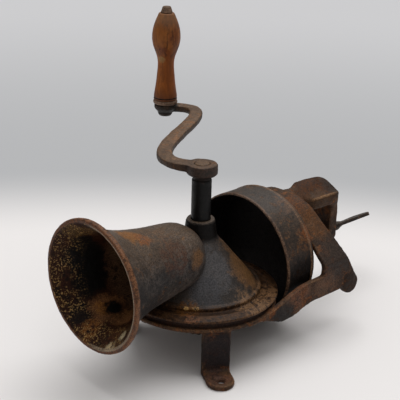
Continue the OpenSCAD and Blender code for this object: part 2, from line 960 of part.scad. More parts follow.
module crank_arm() {
    color("#5b3f30")
        difference() {
            union() {
                rotate_extrude()
                    polygon([
                        [0, hub_bottom],
                        [shaft_r + hub_lip, hub_bottom],
                        [crank_hub_r, hub_bottom + hub_cone_h],
                        [crank_hub_r, hub_top - hub_edge],
                        [crank_hub_r - hub_edge, hub_top],
                        [0, hub_top]
                    ]);
                rotate([0, 0, crank_angle]) {
                    translate([0, 0, arm_z])
                        linear_extrude(height = crank_t)
                            polygon(crank_outline());
                    translate([crank_throw, 0, eye_bottom])
                        cylinder(r = eye_r, h = eye_top - eye_bottom);
                }
            }
            translate([0, 0, hub_bottom - cut])
                cylinder(r = shaft_tail_r + snug, h = crank_hub_h + 2 * cut);
            translate([grip_x, grip_y, eye_bottom - cut])
                cylinder(r = spindle_r + snug, h = eye_top - eye_bottom + 2 * cut);
        }
}

module grip_spindle() {
    head_z = grip_top + free_gap;
    color("#4a3f38")
        translate([grip_x, grip_y, 0]) {
            translate([0, 0, eye_bottom - rivet_h])
                cylinder(r1 = rivet_r - 1.5, r2 = rivet_r, h = rivet_h);
            translate([0, 0, eye_bottom - cut])
                cylinder(r = spindle_r, h = head_z - eye_bottom + 2 * cut);
            translate([0, 0, head_z])
                cylinder(r1 = head_r, r2 = head_r - 1.7, h = spindle_head_h);
        }
}

module grip() {
    steps = 36;
    color("#8a4f26")
        translate([grip_x, grip_y, grip_z])
            difference() {
                rotate_extrude()
                    polygon(concat(
                        [[0, 0]],
                        [for (i = [0 : steps]) let (h = grip_len * i / steps) [grip_r(h), h]],
                        [[0, grip_len]]
                    ));
                translate([0, 0, -cut])
                    cylinder(r = spindle_r + running, h = grip_len + 2 * cut);
            }
}

module grip_ferrule() {
    color("#5b3f30")
        translate([grip_x, grip_y, ferrule_z])
            difference() {
                rotate_extrude()
                    polygon(concat(
                        [[0, 0]],
                        arc([ferrule_r - ferrule_h / 2, ferrule_h / 2], ferrule_h / 2, -90, 90),
                        [[0, ferrule_h]]
                    ));
                translate([0, 0, -cut])
                    cylinder(r = spindle_r + running, h = ferrule_h + 2 * cut);
            }
}

module receiving_cup() {
    color("#3d332d")
        difference() {
            along_x(cup_z)
                rotate_extrude()
                    polygon([
                        [0, cup_end],
                        [cup_base_r - cup_step, cup_end],
                        [cup_base_r, cup_end - 0.8],
                        [cup_base_r, cup_end - 4],
                        [cup_base_r + cup_step, cup_end - 4.8],
                        [cup_rim_r, cup_x + 1],
                        [cup_rim_r - cup_wall / 2, cup_x],
                        [cup_rim_r - cup_wall, cup_x + 1],
                        [cup_base_r - cup_wall, cup_end - cup_base_t],
                        [0, cup_end - cup_base_t]
                    ]);
            translate([cup_x - cut, -notch_w / 2, cup_z - cup_r - cut])
                cube([notch_depth + cut, notch_w, notch_top - cup_z + cup_r + cut]);
        }
}

// Flat blade of the clamp screw, widening to a round tip
module blade() {
    tip = blade_w / 2;
    root = clamp_screw_r + 0.8;
    translate([0, 0, -blade_t / 2])
        linear_extrude(height = blade_t)
            polygon(concat(
                [[0, root], [0, -root], [6, -root]],
                arc([blade_len - tip, 0], tip, -70, 70, 14),
                [[6, root]]
            ));
}

module clamp_screw() {
    rod_x = pad_x + pad_t - tip_depth;
    color("#4a4039") {
        along_x(clamp_z) {
            translate([0, 0, rod_x + free_gap])
                cylinder(r = tip_r, h = pad_t);
            translate([0, 0, pad_x + pad_t + free_gap])
                cylinder(r = clamp_screw_r, h = blade_x - pad_x - pad_t - free_gap);
            translate([0, 0, blade_x - cut])
                cylinder(r1 = clamp_screw_r, r2 = blade_t / 2, h = 10);
        }
        translate([blade_x - cut, 0, clamp_z])
            rotate([blade_turn, 0, 0])
                blade();
    }
}

module clamp_pad() {
    color("#4a4039")
        along_x(clamp_z)
            translate([0, 0, pad_x])
                difference() {
                    cylinder(r1 = pad_r, r2 = pad_r - 1, h = pad_t);
                    translate([0, 0, pad_t - tip_depth])
                        cylinder(r = tip_r + running, h = tip_depth + cut);
                }
}

base_frame();
housing();
hopper();
front_bush();
rear_bush();
housing_screws();
fixed_burr();
burr_screws();
lock_nut();
adjusting_screw();
shaft();
feed_worm();
drive_pins();
rotating_burr();
crank_arm();
grip_spindle();
grip();
grip_ferrule();
receiving_cup();
clamp_screw();
clamp_pad();
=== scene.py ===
import json
import math

import bmesh
import bpy
from mathutils import Matrix, Vector


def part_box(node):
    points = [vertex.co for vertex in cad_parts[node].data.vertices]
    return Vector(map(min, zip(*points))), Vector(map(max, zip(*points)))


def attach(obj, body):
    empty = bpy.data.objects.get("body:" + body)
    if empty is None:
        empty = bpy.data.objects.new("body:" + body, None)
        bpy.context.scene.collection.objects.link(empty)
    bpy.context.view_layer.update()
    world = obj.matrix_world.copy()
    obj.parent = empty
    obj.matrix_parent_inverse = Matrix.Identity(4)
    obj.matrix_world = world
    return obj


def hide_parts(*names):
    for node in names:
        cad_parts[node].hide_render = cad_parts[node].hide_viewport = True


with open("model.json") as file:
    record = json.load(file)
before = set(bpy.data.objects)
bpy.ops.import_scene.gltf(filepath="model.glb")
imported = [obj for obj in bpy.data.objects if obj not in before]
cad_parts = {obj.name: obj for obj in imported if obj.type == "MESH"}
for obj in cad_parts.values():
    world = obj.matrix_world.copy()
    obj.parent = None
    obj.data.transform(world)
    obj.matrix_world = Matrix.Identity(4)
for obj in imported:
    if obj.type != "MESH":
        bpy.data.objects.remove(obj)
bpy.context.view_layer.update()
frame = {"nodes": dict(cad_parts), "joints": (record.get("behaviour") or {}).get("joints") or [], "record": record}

MM = 0.001
RECORD = frame["record"]
BODY_OF = {node: body for body, nodes in RECORD["behaviour"]["bodies"].items() for node in nodes}

# Camera, fitted to the round edges of the photograph
CAMERA_AT = Vector((-0.5305, -0.5359, 0.4135))
CAMERA_RIGHT = Vector((0.7188, -0.6947, 0.0273))
CAMERA_UP = Vector((0.2373, 0.2821, 0.9295))
CAMERA_BACK = Vector((-0.6534, -0.6617, 0.3676))
CAMERA_LENS = 99.2
CAMERA_SENSOR = 36
CAMERA_CLIP = 0.01

# Floor, with the distances from the camera's foot where it turns grey like a wall, in metres
FLOOR_COLOUR = "#e6e3e2"
WALL_LOW_COLOUR = "#b0b1b3"
WALL_TOP_COLOUR = "#c6c6c8"
FLOOR_SIZE = 24.0
FLOOR_TO = 0.95
WALL_FROM = 1.14
WALL_TOP = 2.0

# Light
SKY_COLOUR = (1.0, 0.995, 0.985, 1.0)
SKY_TOP = 0.80
SKY_SIDE = 0.06
SKY_SEEN = 0.58
SUN_STRENGTH = 1.75
SUN_ANGLE = 55
SUN_FROM = Vector((0.30, 0.12, 1.0))

# Stretches of the base frame that get rounder edges, in millimetres, and how much rounder
STRAP_X = (76, 79)
STRAP_Z = (44, 54)
STRAP_SHARE = 0.35
HEEL_X = (98, 104)
HEEL_Z = (46, 40)
HEEL_SHARE = 0.8
SIDE_ARM_X = (28, 38)
SIDE_ARM_SHARE = 0.3
CLAMP_ROUNDS = 26
TONGUE_X = (96, 108)
TONGUE_Z = (72, 80)
TONGUE_ROUNDS = 60
LEAST_SHARE = 0.01

# Slope on the top of the clamp's tongue, in millimetres
SLOPE_X = (97, 105)
SLOPE_Y = (7, -11)
SLOPE_Z = (83, 99)
SLOPE_DROP = 7.5

# Mould seams on the housing's cone, in millimetres and degrees
CONE_FOOT_Z = 53
CONE_TOP_Z = 86
CONE_TOP_R = 13.8
CONE_SPREAD = 0.882
CONE_SKIN = 3
SEAM_TURNS = (-40, 140)
SEAM_ACROSS = (2.4, 0.9)
SEAM_FOOT = 3
SEAM_HEAD = 4
SEAM_RISE = 0.8

# Round edge and bead at the base of the cup, in millimetres
CUP_FLOOR_R = 44
CUP_WALL_R = 48
CUP_BASE_R = 50.6
CUP_EDGE_LENGTH = 5
CUP_EDGE_DEPTH = 4.5
BEAD_X = 70.3
BEAD_ACROSS = (1.56, 0.36)
BEAD_RISE = 0.5

# Crank: plain arm between the hub and the eye, and the feet of both, in millimetres
ARM_FROM_HUB = (13, 23)
ARM_FROM_EYE = (10, 18)
ARM_ROUNDS = 45
HUB_R = 14
HUB_WAIST = 0.62
HUB_BORE = 6.6
EYE_R = 9
EYE_WAIST = 0.70
EYE_BORE = 5.2
END_REACH = 15
END_FOOT = 5

# Turned grip: its belly as a share of the solid's radius, and its bore as a share of the belly
GRIP_BELLY = 0.998
GRIP_BORE = 0.34

# Threads, in millimetres, and the shares of a rod's radius that hold its skin
CLAMP_THREAD_R = 4
CLAMP_PITCH = 2
CLAMP_DEPTH = 0.75
CLAMP_START = 0.6
CLAMP_BLADE = 41
ADJUSTER_THREAD_R = 5
ADJUSTER_PITCH = 1.5
ADJUSTER_DEPTH = 0.6
ADJUSTER_ROOM = 0.4
ADJUSTER_START = 6.5
ROD_SKIN = (0.8, 1.12)

# Places taken from the frame, in millimetres
hopper_low, hopper_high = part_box("hopper")
hopper_z = (hopper_low.z + hopper_high.z) / 2 / MM
cup_low, cup_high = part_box("receiving_cup")
cup_z = (cup_high.z - (cup_high.y - cup_low.y) / 2) / MM
cup_base_x = cup_high.x / MM
crank_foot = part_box("crank_arm")[0].z / MM


def joint_place(name):
    """Place of a joint in the shared frame"""
    return next(joint for joint in frame["joints"] if joint["name"] == name)["pos_m"]


def colour(code):
    """Linear colour of a written sRGB code"""
    parts = [int(code[i:i + 2], 16) / 255 for i in (1, 3, 5)]
    linear = [c / 12.92 if c <= 0.04045 else ((c + 0.055) / 1.055) ** 2.4 for c in parts]
    return (*linear, 1.0)


def rise(value, start, end):
    """Runs smoothly from 0 to 1 as a value runs from start to end"""
    t = min(max((value - start) / (end - start), 0.0), 1.0)
    return t * t * (3 - 2 * t)


# Meshes

def link(name, mesh):
    """New object with a mesh, at the origin of the shared frame"""
    piece = bpy.data.objects.new(name, mesh)
    bpy.context.scene.collection.objects.link(piece)
    return piece


def copy_of(node):
    """New object with a welded copy of a node's mesh"""
    mesh = bpy.data.meshes.new(node + "_surface")
    work = bmesh.new()
    work.from_mesh(frame["nodes"][node].data)
    bmesh.ops.remove_doubles(work, verts=work.verts, dist=1e-6)
    work.to_mesh(mesh)
    work.free()
    return link(node + "_surface", mesh)


def settle(piece):
    """Applies a piece's modifiers to its mesh"""
    shown = piece.evaluated_get(bpy.context.evaluated_depsgraph_get())
    mesh = bpy.data.meshes.new_from_object(shown)
    piece.modifiers.clear()
    piece.data = mesh


def roughen(piece, depth, size):
    """Adds the uneven skin of a casting, of a given depth and size of lump"""
    lumps = bpy.data.textures.new(piece.name + "_lumps", "CLOUDS")
    lumps.noise_scale = size
    lumps.noise_depth = 3
    uneven = piece.modifiers.new("uneven", "DISPLACE")
    uneven.texture = lumps
    uneven.texture_coords = "LOCAL"
    uneven.strength = depth
    uneven.mid_level = 0.6


def soften(piece, rounds, group=""):
    """Rounds a piece's edges, or those of a group of its points"""
    smooth = piece.modifiers.new("soften", "SMOOTH")
    smooth.factor = 0.5
    smooth.iterations = rounds
    smooth.vertex_group = group


def soften_where(piece, name, rounds, share_at):
    """Rounds a piece's edges by a share that depends on the place in millimetres"""
    group = piece.vertex_groups.new(name=name)
    for vertex in piece.data.vertices:
        share = share_at(vertex.co / MM)
        if share > LEAST_SHARE:
            group.add([vertex.index], share, "REPLACE")
    soften(piece, rounds, name)


def keep_inside(piece, node):
    """Holds a piece's points inside the box of its node"""
    low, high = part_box(node)
    for vertex in piece.data.vertices:
        vertex.co = [min(max(c, a), b) for c, a, b in zip(vertex.co, low, high)]
    piece.data.update()


def cast(node, voxel, rounds, lumps=(), shaper=None):
    """Piece for a node with rounded edges and an uneven skin, from lengths in millimetres"""
    piece = copy_of(node)
    grid = piece.modifiers.new("grid", "REMESH")
    grid.mode = "VOXEL"
    grid.voxel_size = voxel * MM
    soften(piece, rounds)
    settle(piece)
    if shaper:
        shaper(piece)
    for depth, size in lumps:
        roughen(piece, depth * MM, size * MM)
    settle(piece)
    keep_inside(piece, node)
    piece.data.shade_smooth()
    return piece


def lathe(name, profile, centre, segments=96):
    """Closed ring turned about a vertical axis from a closed profile of radii and heights"""
    work = bmesh.new()
    rings = []
    for radius, height in profile:
        ring = []
        for i in range(segments):
            turn = 2 * math.pi * i / segments
            ring.append(work.verts.new((
                centre[0] + radius * math.cos(turn), centre[1] + radius * math.sin(turn), height
            )))
        rings.append(ring)
    for low, high in zip(rings, rings[1:] + rings[:1]):
        for i in range(segments):
            j = (i + 1) % segments
            work.faces.new((low[i], low[j], high[j], high[i]))
    bmesh.ops.recalc_face_normals(work, faces=work.faces)
    mesh = bpy.data.meshes.new(name)
    work.to_mesh(mesh)
    work.free()
    piece = link(name, mesh)
    mesh.shade_smooth()
    return piece


def smooth_profile(points, steps=4):
    """Points along a smooth curve through the given ones"""
    found = []
    for i in range(len(points) - 1):
        a = Vector(points[max(i - 1, 0)])
        b = Vector(points[i])
        c = Vector(points[i + 1])
        d = Vector(points[min(i + 2, len(points) - 1)])
        for j in range(steps):
            t = j / steps
            p = 0.5 * (2 * b + (c - a) * t + (2 * a - 5 * b + 4 * c - d) * t * t
                       + (3 * b - a - 3 * c + d) * t ** 3)
            found.append((p.x, p.y))
    found.append(tuple(points[-1]))
    return found


def cut_thread(piece, start, along, length, radius, pitch, depth, room=0):
    """Presses a screw thread into a rod that runs from start along an axis.

    Radius, pitch, depth and the room round the thread are in millimetres.
    """
    side = along.orthogonal().normalized()
    other = along.cross(side)
    least, most = (share * radius * MM for share in ROD_SKIN)
    for vertex in piece.data.vertices:
        away = vertex.co - start
        far = away.dot(along)
        out = away - far * along
        if not (0 < far < length and least < out.length < most):
            continue
        turn = math.atan2(out.dot(other), out.dot(side)) / (2 * math.pi)
        phase = (far / (pitch * MM) - turn) % 1.0
        fade = min(1.0, far / (pitch * MM), (length - far) / (pitch * MM))
        vertex.co -= out.normalized() * fade * (room * MM + depth * MM * abs(2 * phase - 1))
    piece.data.update()


def dress(piece, node, material):
    """Puts a finished piece in a node's place"""
    piece.data.materials.clear()
    piece.data.materials.append(material)
    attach(piece, BODY_OF[node])
    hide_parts(node)


# Material building

class Finish:
    """A material and short calls that add nodes to it"""

    def __init__(self, name, roughness=0.6, shine=0.25):
        self.material = bpy.data.materials.new(name)
        self.material.use_nodes = True
        self.tree = self.material.node_tree
        self.shader = self.tree.nodes["Principled BSDF"]
        self.shader.inputs["Roughness"].default_value = roughness
        self.shader.inputs["Specular IOR Level"].default_value = shine
        where = self.node("ShaderNodeTexCoord")
        self.place = where.outputs["Object"]
        self.facing = where.outputs["Normal"]
        self.edge = self.node("ShaderNodeNewGeometry").outputs["Pointiness"]
        self.x, self.y, self.z = self.parts(self.place)

    def node(self, kind):
        return self.tree.nodes.new(kind)

    def put(self, socket, value):
        """Sets a socket to a value, or links it to another node's output"""
        if isinstance(value, bpy.types.NodeSocket):
            self.tree.links.new(value, socket)
        else:
            socket.default_value = value

    def math(self, kind, a, b=0.0):
        made = self.node("ShaderNodeMath")
        made.operation = kind
        self.put(made.inputs[0], a)
        self.put(made.inputs[1], b)
        return made.outputs[0]

    def vector(self, kind, a, b=(0, 0, 0), out="Vector"):
        made = self.node("ShaderNodeVectorMath")
        made.operation = kind
        self.put(made.inputs[0], a)
        self.put(made.inputs[1], b)
        return made.outputs[out]

    def parts(self, vector):
        made = self.node("ShaderNodeSeparateXYZ")
        self.put(made.inputs[0], vector)
        return made.outputs[0], made.outputs[1], made.outputs[2]

    def noise(self, scale, detail=5.0, rough=0.6, warp=0.0, stretch=None):
        made = self.node("ShaderNodeTexNoise")
        place = self.vector("MULTIPLY", self.place, stretch) if stretch else self.place
        self.put(made.inputs["Vector"], place)
        made.inputs["Scale"].default_value = scale
        made.inputs["Detail"].default_value = detail
        made.inputs["Roughness"].default_value = rough
        made.inputs["Distortion"].default_value = warp
        return made.outputs["Fac"]

    def ramp(self, value, low, high, bottom=0.0, top=1.0):
        """Runs smoothly from bottom to top as a value runs from low to high"""
        made = self.node("ShaderNodeMapRange")
        made.interpolation_type = "SMOOTHSTEP"
        self.put(made.inputs["Value"], value)
        for name, number in (("From Min", low), ("From Max", high), ("To Min", bottom), ("To Max", top)):
            made.inputs[name].default_value = number
        return made.outputs[0]

    def step(self, place, start, end, bottom=0.0, top=1.0):
        """Runs smoothly from bottom to top between two places given in millimetres"""
        return self.ramp(place, start * MM, end * MM, bottom, top)

    def between(self, place, low, high, soft):
        """1 between two places and 0 beyond a soft edge, all given in millimetres"""
        return self.both(self.step(place, low - soft, low), self.step(place, high + soft, high))

    def mix(self, share, a, b, kind="MIX"):
        """Colour a with a share of colour b over it"""
        made = self.node("ShaderNodeMix")
        made.data_type = "RGBA"
        made.blend_type = kind
        self.put(made.inputs["Factor"], share)
        self.put(made.inputs["A"], colour(a) if isinstance(a, str) else a)
        self.put(made.inputs["B"], colour(b) if isinstance(b, str) else b)
        return made.outputs["Result"]

    def both(self, *shares):
        """Product of several shares"""
        found = shares[0]
        for share in shares[1:]:
            found = self.math("MULTIPLY", found, share)
        return found

    def spot(self, centre, radius, squash=(1, 1, 1), ragged=0.8, core=0.55):
        """A patch round a point given in millimetres, with a ragged edge outside its core"""
        away = self.vector("SUBTRACT", self.place, Vector(centre) * MM)
        far = self.vector("LENGTH", self.vector("MULTIPLY", away, squash), out="Value")
        uneven = self.math("SUBTRACT", self.noise(150, 6, 0.7), 0.5)
        rough = self.math("MULTIPLY", uneven, 2 * ragged * radius * MM)
        return self.step(self.math("ADD", far, rough), radius, core * radius)

    def off_axis(self, z):
        """Distance of the place from a line along X at a height in millimetres, and how far it faces away"""
        away = self.vector("MULTIPLY", self.vector("SUBTRACT", self.place, (0, 0, z * MM)), (0, 1, 1))
        far = self.vector("LENGTH", away, out="Value")
        out = self.vector("DOT_PRODUCT", self.vector("NORMALIZE", away), self.facing, out="Value")
        return far, out

    def radius(self):
        """Distance of the place from the crank axis"""
        return self.vector("LENGTH", self.vector("MULTIPLY", self.place, (1, 1, 0)), out="Value")

    def dull(self, share, shine):
        """Takes the sheen off a share of the surface"""
        usual = self.shader.inputs["Specular IOR Level"].default_value
        self.put(self.shader.inputs["Specular IOR Level"], self.ramp(share, 0.0, 1.0, usual, shine))

    def done(self, tint, roughness=None, bump=None, depth=0.0):
        """Joins a tint, and a roughness and a bump with its depth in millimetres, to the shader"""
        self.put(self.shader.inputs["Base Color"], tint)
        if roughness is not None:
            self.put(self.shader.inputs["Roughness"], roughness)
        if bump is not None:
            made = self.node("ShaderNodeBump")
            made.inputs["Strength"].default_value = 1.0
            made.inputs["Distance"].default_value = depth * MM
            self.put(made.inputs["Height"], bump)
            self.put(self.shader.inputs["Normal"], made.outputs[0])
        return self.material


# Finishes of iron, steel and wood

DUST = "#8a6f55"
# Near-black painted shade for recesses
RECESS_SHADE = "#0d0a09"
EYE_BLACK = "#1d1a16"
EVEN = False
CHIPPED = True


def iron(name, black, brown, rust, tan, rust_share, wear, dust, shine=0.25, gloss=0.5, details=None):
    """Old cast iron: black and brown patina, crisp rust, tan wear on the edges, dust on top and painted shade in
    recesses
    """
    f = Finish(name, shine=shine)
    broad = f.noise(42, 5, 0.6, 0.5)
    bloom = f.noise(120, 9, 0.72, 0.7)
    mottle = f.noise(330, 6, 0.72)
    grit = f.noise(1100, 3, 0.6)
    tint = f.mix(f.ramp(broad, 0.38, 0.62), black, brown)
    tint = f.mix(f.ramp(mottle, 0.42, 0.60, 0.0, 0.75), tint, black)
    rusty = f.ramp(bloom, 0.70 - 0.40 * rust_share, 0.78 - 0.40 * rust_share)
    tint = f.mix(f.both(rusty, f.ramp(mottle, 0.34, 0.56, 0.25, 0.95)), tint, rust)
    specks = f.both(f.ramp(f.noise(420, 5, 0.65), 0.57, 0.66), f.ramp(bloom, 0.42, 0.62))
    tint = f.mix(f.both(specks, 0.6), tint, tan)
    top = f.ramp(f.parts(f.facing)[2], 0.15, 0.95)
    tint = f.mix(f.both(top, f.ramp(mottle, 0.30, 0.66, 0.35, 1.0), dust), tint, DUST)
    worn = f.both(f.ramp(f.edge, 0.520, 0.565), f.ramp(mottle, 0.34, 0.58, 0.15, 1.0))
    tint = f.mix(f.both(worn, wear), tint, tan)
    # Painted shade: concave places darkened towards near-black
    recess_shade = f.ramp(f.edge, 0.487, 0.44)
    tint = f.mix(f.both(recess_shade, 0.85), tint, RECESS_SHADE)
    chips = f.ramp(mottle, 0.40, 0.54)
    if details:
        tint = details(f, tint, chips)
    tint = f.mix(1.0, tint, f.mix(f.ramp(grit, 0.3, 0.7), "#949494", "#ffffff"), "MULTIPLY")
    height = f.math("ADD", f.both(mottle, 0.7), f.both(grit, 0.3))
    rough = f.math("ADD", f.ramp(mottle, 0.3, 0.7, gloss - 0.08, gloss + 0.12), f.both(rusty, 0.25))
    return f.done(tint, rough, height, 0.4)


def patches(f, tint, chips, spots):
    """Lays ragged patches over a tint, either evenly or only where the surface is chipped.

    Each has its centre and radius in millimetres, its colour, its share and its kind.
    """
    for centre, radius, code, share, kind in spots:
        patch = f.both(f.spot(centre, radius), share)
        tint = f.mix(f.both(patch, chips) if kind == CHIPPED else patch, tint, code)
    return tint


def hopper_details(f, tint, chips):
    """Tan and red patches outside, a brown lip with a painted highlight on one side of its mouth, and a dark
    inside with gold specks and rust, painted lighter deeper in
    """
    tint = patches(f, tint, chips, [
        ((-75, -5, 109.5), 11, "#8f5f30", 0.95, EVEN),
        ((-66, -11, 106), 8, "#8a5329", 0.9, CHIPPED),
        ((-50, -8, 105), 16, "#6e5138", 0.5, CHIPPED),
        ((-48, -24, 92), 17, "#5f3c2b", 0.55, CHIPPED),
        ((-26, -25, 84), 9, "#7d5733", 0.75, EVEN),
    ])
    far, out = f.off_axis(hopper_z)
    lip = f.step(f.x, -100.8, -102.6)
    tint = f.mix(f.both(lip, 0.85), tint, f.mix(chips, "#4e2c16", "#7d4d2c"))
    rim = f.both(f.step(f.x, -97.0, -99.0), f.step(far, 48.1, 48.6))
    tint = f.mix(f.both(rim, 0.8), tint, f.mix(chips, "#573720", "#8f6243"))
    # Painted light: the inside is a lighter brown deeper in, where less light reaches
    deep = f.step(f.x, -76, -60)
    near = f.step(f.x, -82, -96)
    inside = f.mix(deep, "#35190b", "#664a35")
    black = f.both(f.ramp(f.noise(170, 6, 0.7), 0.52, 0.60), 0.75)
    inside = f.mix(black, inside, "#0c0908")
    inside = patches(f, inside, chips, [
        ((-85, 31, 84), 18, "#0b0908", 0.97, EVEN),
        ((-82, 29, 66), 17, "#0c0a09", 0.95, EVEN),
        ((-76, 30, 76), 12, "#0c0a09", 0.9, EVEN),
        ((-90, 27, 98), 10, "#080605", 0.85, EVEN),
        ((-96, 22, 45), 12, "#0c0807", 0.75, EVEN),
        ((-80, 11, 49), 16, "#805534", 0.95, EVEN),
        ((-77, -5, 47), 13, "#805634", 0.95, EVEN),
        ((-82, 14, 48.5), 8, "#a0682f", 0.8, CHIPPED),
        ((-79, 3, 46), 12, "#2b180c", 0.55, CHIPPED),
        ((-76, 8.0, 49.5), 8.2, "#0b0705", 1.0, EVEN),
        ((-98.5, 9, 39), 10, "#8a5524", 0.8, CHIPPED),
        ((-97, -18, 41), 14, "#5f3a24", 0.8, CHIPPED),
        ((-103.5, -19, 38.5), 6.5, "#d8c39a", 0.9, CHIPPED),
        ((-97, -25, 47.5), 5, "#d5c39c", 0.95, CHIPPED),
        ((-100, 25, 111), 12, "#5a4322", 0.7, CHIPPED),
    ])
    specks = f.ramp(f.noise(760, 4, 0.65), 0.535, 0.60)
    gold = f.both(specks, f.ramp(f.noise(70, 4, 0.6), 0.38, 0.54), near)
    inside = f.mix(f.both(gold, 0.85), inside, "#be965c")
    turned_in = f.ramp(out, -0.10, -0.35)
    f.dull(turned_in, 0.10)
    tint = f.mix(turned_in, tint, inside)
    # Painted highlight on the lip's inner edge, on its -Y side
    bright = f.both(f.between(far, 44.6, 46.2, 0.4), f.step(f.x, -102.8, -103.6), f.step(f.y, 6, -6))
    return f.mix(f.both(bright, 0.75), tint, "#a8937a")


def housing_details(f, tint, chips):
    """Painted grey sheen and rust on the cone, a brown flange with painted shade in its channel and chips, and a
    black boss
    """
    tint = patches(f, tint, chips, [
        # The first two grey patches are painted sheen on the cone's front
        ((-12, -25, 70), 22, "#545152", 0.75, EVEN),
        ((-22, -30, 58), 16, "#3f3e42", 0.6, EVEN),
        ((20, -27, 63), 20, "#7a5635", 0.8, EVEN),
        ((18, -25, 66), 18, "#5c4228", 0.6, CHIPPED),
        ((14, -14, 80), 9, "#5e432a", 0.85, CHIPPED),
        ((20, -20, 70), 12, "#694a2d", 0.85, CHIPPED),
        ((27, -26, 60), 13, "#74522f", 0.85, CHIPPED),
    ])
    flange = f.step(f.z, 51.5, 49.0)
    tint = f.mix(f.both(flange, 0.88), tint, f.mix(chips, "#2c1b11", "#5c3f28"))
    # Painted shade in the flange's channel, darkest on the side under the hopper
    ring = f.between(f.radius(), 47.8, 51.5, 0.6)
    channel = f.both(ring, f.step(f.z, 48.2, 47.0), f.step(f.x, 22, 2, 0.1, 0.6))
    tint = f.mix(channel, tint, "#20150f")
    tint = patches(f, tint, chips, [
        ((30, -44, 47.5), 17, "#7f5d3f", 0.8, CHIPPED),
        ((6, -52, 47.5), 17, "#8a6849", 0.75, CHIPPED),
        ((-38, -28, 49), 10, "#70471f", 0.85, CHIPPED),
        ((-42, -36, 46.7), 7, "#80553a", 0.8, CHIPPED),
        ((-38.8, -26.6, 50), 2.6, "#cfa263", 0.95, CHIPPED),
        ((-34, -32, 50), 2.8, "#cfa263", 0.95, CHIPPED),
    ])
    boss = f.step(f.z, 86.5, 89.5)
    f.dull(f.math("MAXIMUM", boss, f.both(flange, 0.8)), 0.10)
    return f.mix(f.both(boss, 0.9), tint, f.mix(chips, "#0a0908", "#181513"))


def cup_details(f, tint, chips):
    """Black inside and dark low down, both painted shade; a brown rim; grey on top as painted sheen; a tan painted
    highlight on the bead; and orange near the base
    """
    far, out = f.off_axis(cup_z)
    tint = patches(f, tint, chips, [
        # Painted sheen: grey on the cup's top
        ((56, -10, 106), 26, "#4b4744", 0.45, EVEN),
        ((69.5, -22, 101), 13, "#72543f", 0.8, CHIPPED),
        ((72.5, -41, 82.5), 9.5, "#80491f", 0.85, EVEN),
        ((65, -46, 76), 7, "#6b4424", 0.8, CHIPPED),
        # Painted shade: near-black low on the cup's side
        ((62, -50, 52), 24, "#120d0b", 0.9, EVEN),
    ])
    rim = f.step(f.x, 45.8, 44.3)
    tint = f.mix(f.both(rim, 0.8), tint, f.mix(chips, "#4d382c", "#80624d"))
    # Painted highlight: a tan line along the bead
    line = f.both(f.between(f.x, 69.4, 71.2, 0.7), f.step(far, 48.5, 49.5))
    tint = f.mix(f.both(line, f.ramp(chips, 0.0, 1.0, 0.3, 0.75)), tint, "#8a684d")
    # Painted shade: the inside and the inner base turned near-black
    turned_in = f.ramp(out, -0.2, -0.5)
    bottom = f.both(f.ramp(f.parts(f.facing)[0], -0.4, -0.8), f.step(f.x, 52, 60))
    inside = f.math("MAXIMUM", turned_in, bottom)
    f.dull(f.math("MAXIMUM", inside, f.step(f.z, 78, 56)), 0.05)
    return f.mix(inside, tint, f.mix(chips, "#1b1818", "#231e1c"))


def frame_details(f, tint, chips):
    """Rusty strap, brown tongue with a tan painted highlight on its near edge, dark heels, a front leg darkened
    with painted shade, and painted shade in the groove under the flange
    """
    tint = patches(f, tint, chips, [
        ((88, -22, 99), 18, "#70462a", 0.8, CHIPPED),
        ((93, -36, 85), 18, "#6b4526", 0.7, CHIPPED),
        ((93, -57, 64), 24, "#3b312c", 0.8, EVEN),
        ((128, -2, 96), 27, "#331d10", 0.85, EVEN),
        ((124, -4, 96), 24, "#5f381b", 0.75, CHIPPED),
        ((148, -6, 93), 12, "#3a2e27", 0.75, EVEN),
        ((122, -14, 88), 16, "#5a4533", 0.6, EVEN),
        ((48, -60, 43), 15, "#7b523b", 0.8, CHIPPED),
        ((80, -60, 42), 15, "#70503c", 0.75, CHIPPED),
        ((30, -60, 32), 14, "#2b2725", 0.85, EVEN),
        ((110, -61, 35), 13, "#33251d", 0.85, EVEN),
        # Painted shade darkening the front leg
        ((-29, -50, 20), 20, "#272123", 0.9, EVEN),
        ((-36, -58, 3), 13, "#6a4a3c", 0.8, CHIPPED),
    ])
    # Painted highlight on the tongue's rounded near edge
    tongue_edge_highlight = f.both(f.between(f.y, -13.2, -11.2, 0.8), f.step(f.x, 100, 108), f.step(f.z, 88, 90))
    tint = f.mix(f.both(tongue_edge_highlight, f.ramp(chips, 0.0, 1.0, 0.45, 0.85)), tint, "#987250")
    # Painted shade in the groove between the base ring and the flange
    low_band = f.between(f.z, 39.6, 45.0, 0.5)
    groove = f.both(f.step(f.radius(), 58.6, 57.8), low_band, f.step(f.x, 34, 26))
    return f.mix(f.both(groove, 0.8), tint, "#27150f")


def crank_details(f, tint, chips):
    """Painted shade on the sides, the underside and the hub's foot, a dark hub with painted shade on its sides,
    and painted shade on the black eye under the ferrule
    """
    up = f.parts(f.facing)[2]
    # Painted shade: darker sides and a darker underside
    tint = f.mix(f.ramp(up, 0.85, 0.25, 0.0, 0.65), tint, "#38271b")
    tint = f.mix(f.ramp(up, -0.1, -0.7, 0.0, 0.7), tint, "#1c1512")
    # Dark hub, with more painted shade on its sides than on its top
    hub = f.step(f.radius(), 16.5, 13.5)
    tint = f.mix(f.both(hub, f.ramp(up, 0.97, 0.65, 0.4, 0.9)), tint, f.mix(chips, "#241a14", "#45332a"))
    # Painted shade at the hub's foot
    hub_foot_shade = f.both(hub, f.step(f.z, crank_foot + 5.5, crank_foot + 2))
    tint = f.mix(f.both(hub_foot_shade, 0.85), tint, "#17110d")
    # Painted shade under the ferrule, over the eye's dark iron
    eye = f.both(f.spot((79.5, 127, 140), 16), f.step(f.z, 146.2, 144.7))
    return f.mix(f.both(eye, 0.9), tint, EYE_BLACK)


